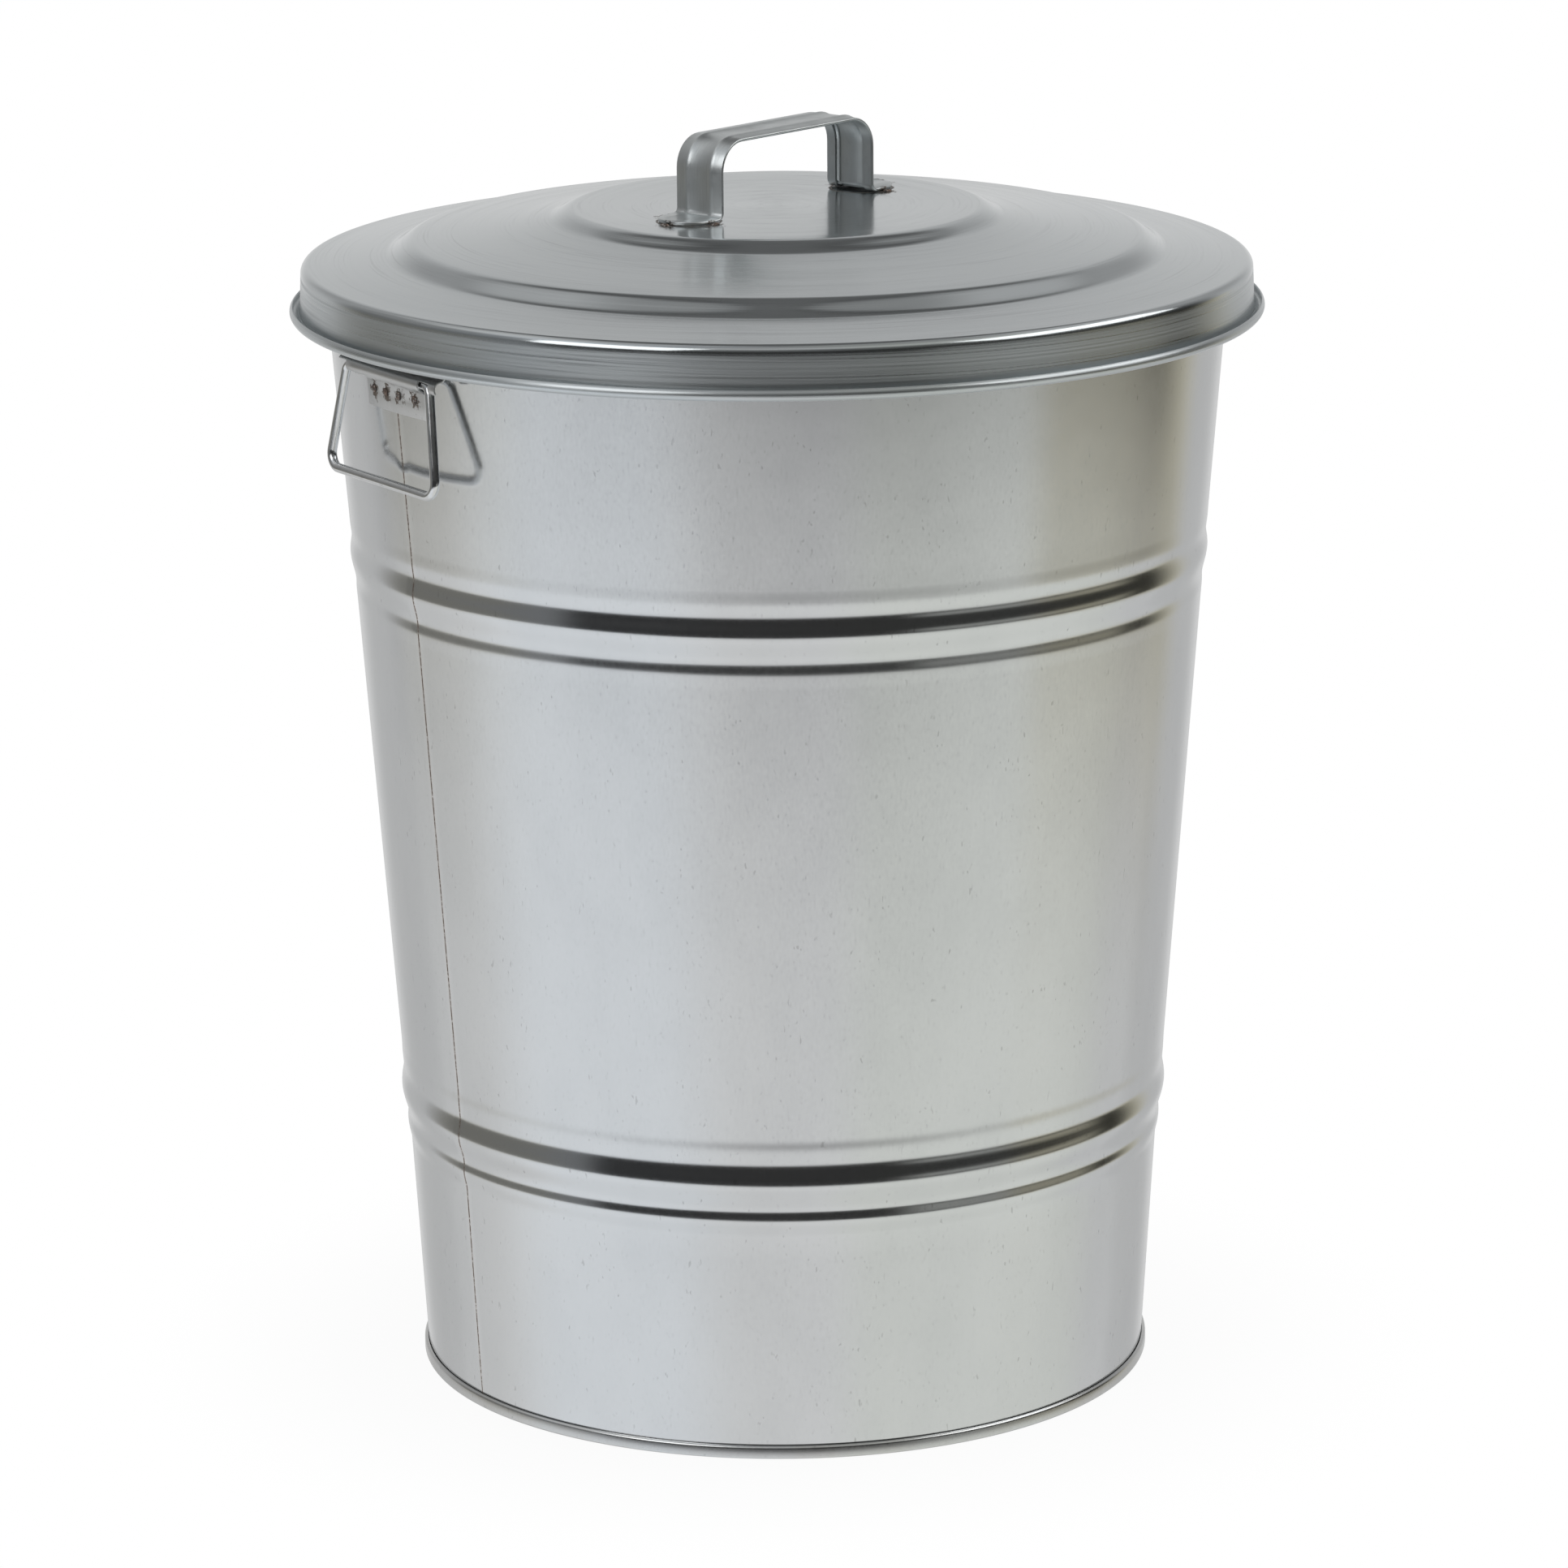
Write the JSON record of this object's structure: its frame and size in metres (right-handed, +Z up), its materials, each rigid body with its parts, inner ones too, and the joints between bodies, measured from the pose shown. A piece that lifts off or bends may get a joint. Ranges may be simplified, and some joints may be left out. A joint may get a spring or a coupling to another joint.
{
  "type": "lidded trash can",
  "caption": "Round tapered galvanized steel trash can with rolled hoops, a loose stepped lid with a strap handle, and drop handles of bent wire on its sides.",
  "frame": {"origin": "centre of the foot, on the ground", "axes": "+Z up along the tub's axis; the drop handles are on -X and +X; the tub's seam is on -X"},
  "size_m": [0.41, 0.41, 0.5353],
  "materials": {
    "galvanized_sheet": "satin hot-dip galvanized sheet, fine dark specks",
    "spun_lid": "galvanized sheet with concentric spinning lines",
    "bright_strap": "glossy zinc-plated strap",
    "ear_sheet": "dull zinc-plated sheet",
    "bright_wire": "bright zinc-plated wire",
    "burnt_weld": "dark burnt weld metal"
  },
  "bodies": {
    "tub": {"body_shell": "galvanized_sheet", "base_plate": "galvanized_sheet", "bracket_left": "ear_sheet", "bracket_right": "ear_sheet", "bracket_left_weld_1": "burnt_weld", "bracket_left_weld_2": "burnt_weld", "bracket_left_weld_3": "burnt_weld", "bracket_left_weld_4": "burnt_weld", "bracket_right_weld_1": "burnt_weld", "bracket_right_weld_2": "burnt_weld", "bracket_right_weld_3": "burnt_weld", "bracket_right_weld_4": "burnt_weld"},
    "lid": {"lid_pan": "spun_lid", "lid_handle": "bright_strap", "lid_handle_weld_1": "burnt_weld", "lid_handle_weld_2": "burnt_weld", "lid_handle_weld_3": "burnt_weld", "lid_handle_weld_4": "burnt_weld", "lid_handle_weld_5": "burnt_weld", "lid_handle_weld_6": "burnt_weld"},
    "bail_left": {"bail_left": "bright_wire"},
    "bail_right": {"bail_right": "bright_wire"}
  },
  "joints": [
    {"name": "lid_lift", "type": "slide", "parent": "tub", "child": "lid", "axis": [0, 0, 1], "range_m": [0, 0.35]},
    {"name": "bail_left_swing", "type": "hinge", "parent": "tub", "child": "bail_left", "pos_m": [-0.19119, 0, 0.4505], "axis": [0, 1, 0], "range_deg": [-4, 65]},
    {"name": "bail_right_swing", "type": "hinge", "parent": "tub", "child": "bail_right", "pos_m": [0.19119, 0, 0.4505], "axis": [0, -1, 0], "range_deg": [-4, 65]}
  ]
}
